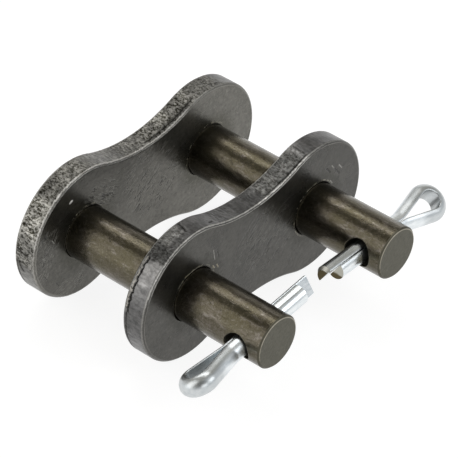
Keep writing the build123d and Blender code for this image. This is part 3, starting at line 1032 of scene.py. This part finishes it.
BACK_SEED = 3.0
FRONT_SEED = 11.0
back_plate = make_plate("back_plate_detailed", BACK_PLATE_Y, PIN_RADIUS, BACK_LOOKS, BACK_SEED)
front_plate = make_plate(
    "front_plate_detailed", FRONT_PLATE_Y, PIN_RADIUS + PLATE_HOLE_CLEARANCE, FRONT_LOOKS, FRONT_SEED)
for plate, node, body in (
    (back_plate, "back_plate", "pin_link"),
    (front_plate, "front_plate", "front_plate_body"),
):
    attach(plate, body)
    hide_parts(node)
back_plate.data.materials.append(
    plate_material("back_plate_steel", BACK_PLATE_Y, BACK_STEEL, BACK_MARKS, BACK_SCUFFS))
front_plate.data.materials.append(
    plate_material("front_plate_steel", FRONT_PLATE_Y, FRONT_STEEL, FRONT_MARKS, FRONT_SCUFFS))
use("left_pin", pin_material("left_pin_steel", -PIN_X))
use("right_pin", pin_material("right_pin_steel", PIN_X))
left_direction = (math.cos(LEFT_SLOPE), 0.0, math.sin(LEFT_SLOPE))
right_direction = (-math.cos(RIGHT_SLOPE), 0.0, math.sin(RIGHT_SLOPE))
use("left_cotter_pin", cotter_material(
    "left_cotter_wire", -PIN_X, left_direction, LEFT_LONG_REACH, darkened=0.0))
use("right_cotter_pin", cotter_material(
    "right_cotter_wire", PIN_X, right_direction, RIGHT_LONG_REACH, darkened=1.0))


# ---- floor, world, lamps, camera ----

WHITE = (1.0, 1.0, 1.0)
FLOOR_HALF = 3.0  # metres
FLOOR_DROP = 0.0002  # metres below the link, so that the two share no plane
FLOOR_GLOW = 0.87  # added to the faint floor, for camera and mirror rays
FLOOR_FAINT = (0.25, 0.25, 0.25)
FLOOR_MATT = (0.8, 0.8, 0.8)  # what every other ray meets


def floor_material():
    """Nearly white to camera and mirror rays, with the link's soft shadow, and matt to all others."""
    material = bpy.data.materials.new("pale_floor")
    g = Graph(material)
    ray = g.node("LightPath")
    seen = g.math("MAXIMUM", ray.outputs["Is Camera Ray"], ray.outputs["Is Glossy Ray"])
    matt = g.made("BsdfDiffuse", FLOOR_MATT)
    faint = g.made("BsdfDiffuse", FLOOR_FAINT)
    glow = g.made("Emission", WHITE, FLOOR_GLOW)
    together = g.made("AddShader", faint, glow)
    g.surface("OutputMaterial", g.made("MixShader", seen, matt, together))
    return material


def make_floor():
    mesh = bpy.data.meshes.new("floor")
    corners = [(x * FLOOR_HALF, y * FLOOR_HALF, 0.0) for x, y in ((-1, -1), (1, -1), (1, 1), (-1, 1))]
    mesh.from_pydata(corners, [], [(0, 1, 2, 3)])
    mesh.materials.append(floor_material())
    floor = added("floor", mesh)
    floor.location.z = -FLOOR_DROP


# The room is a colour for every direction. A fade says where along an axis it starts and is full.
HORIZON = (0.7, 0.7, 0.7)
CEILING = (0.32, 0.307, 0.275)
CEILING_FADE = (0.0, 0.5)  # upwards
FRONT_WALL = (0.6, 0.62, 0.64)
FRONT_FADE = (0.0, -0.5)  # towards the pins' free ends
PHOTO_SIDE = (-0.605, -0.494, 0.624)  # the direction that the photograph was taken from
PHOTO_SIDE_FADE = (0.84, 0.94)  # cosine of the angle off it
PHOTO_SIDE_DARK = (0.08, 0.08, 0.075)


def make_world():
    """Camera rays see white. All other rays, mirror rays too, see a dim room.

    It is pale at the horizon, fairly pale in front and dark round the direction of the photograph.
    """
    world = bpy.data.worlds.new("studio")
    bpy.context.scene.world = world
    g = Graph(world)
    direction = g.node("TexCoord").outputs["Generated"]
    y, z = g.parts(direction)[1:]
    towards = g.vector("DOT_PRODUCT", direction, PHOTO_SIDE)
    colour = g.mix(g.span(z, *CEILING_FADE, smooth=False), HORIZON, CEILING)
    colour = g.mix(g.span(y, *FRONT_FADE, smooth=False), colour, FRONT_WALL)
    colour = g.mix(g.span(towards, *PHOTO_SIDE_FADE, smooth=False), colour, PHOTO_SIDE_DARK)
    room = g.made("Background", colour)
    white = g.made("Background", WHITE)
    seen = g.node("LightPath").outputs["Is Camera Ray"]
    g.surface("OutputWorld", g.made("MixShader", seen, room, white))


CENTRE = Vector((0.0, -3.0, 10.0)) * MM
ALONG_PINS = (0.0, 1.0, 0.0)
UPRIGHT = (0.0, 0.0, 1.0)
LAMPS = [  # name, direction from the link, distance, width and height in metres, radiance, long side
    ("top_strip", (0.31, 0.495, 0.81), 0.5, 0.15, 0.5, 2.6, ALONG_PINS),
    ("back_left_box", (-0.745, 0.495, 0.445), 0.5, 0.55, 0.4, 1.15, ALONG_PINS),
    ("back_right_box", (0.84, 0.49, 0.25), 0.5, 0.3, 0.25, 0.5, UPRIGHT),
    ("front_box", (0.35, -0.75, 0.55), 0.6, 0.35, 0.3, 1.6, UPRIGHT),
    ("front_left_box", (-0.45, -0.8, 0.35), 0.6, 0.3, 0.3, 1.3, UPRIGHT),
]


def aimed(place, right, up, back):
    """The matrix of a lamp or camera at a place, from its own three directions."""
    return Matrix.LocRotScale(place, Matrix((right, up, back)).transposed().to_quaternion(), None)


def make_lamp(name, direction, distance, width, height, radiance, long_side):
    """A rectangular soft box that faces the link. Its height runs as nearly along long_side as it can."""
    data = bpy.data.lights.new(name, "AREA")
    data.shape = "RECTANGLE"
    data.size = width
    data.size_y = height
    data.energy = radiance * width * height * math.pi
    back = Vector(direction).normalized()
    up = Vector(long_side)
    up = (up - back * up.dot(back)).normalized()
    lamp = added(name, data)
    lamp.matrix_world = aimed(CENTRE + back * distance, up.cross(back), up, back)
    lamp.visible_camera = False


# The camera stands where the photograph was taken from, fitted to the link's own corners.
CAMERA_PLACE = Vector((-253.15, -207.16, 272.72)) * MM
AZIMUTH = math.radians(-50.74)
ELEVATION = math.radians(38.63)
ROLL = math.radians(2.28)
FOCAL_PX = 3048.68
IMAGE_PX = 458.0
SENSOR = 36.0  # millimetres
CLIP_START = 0.01  # metres
CLIP_END = 20.0


def make_camera():
    back = Vector((
        math.sin(AZIMUTH) * math.cos(ELEVATION),
        -math.cos(AZIMUTH) * math.cos(ELEVATION),
        math.sin(ELEVATION)))
    level_right = Vector((math.cos(AZIMUTH), math.sin(AZIMUTH), 0.0))
    level_up = level_right.cross(-back)
    right = level_right * math.cos(ROLL) + level_up * math.sin(ROLL)
    up = level_up * math.cos(ROLL) - level_right * math.sin(ROLL)
    data = bpy.data.cameras.new("camera")
    data.sensor_width = SENSOR
    data.lens = FOCAL_PX / IMAGE_PX * SENSOR
    data.clip_start = CLIP_START
    data.clip_end = CLIP_END
    camera = added("camera", data)
    camera.matrix_world = aimed(CAMERA_PLACE, right, up, back)
    bpy.context.scene.camera = camera


make_floor()
make_world()
for lamp in LAMPS:
    make_lamp(*lamp)
make_camera()
bpy.context.scene.view_settings.view_transform = "Standard"
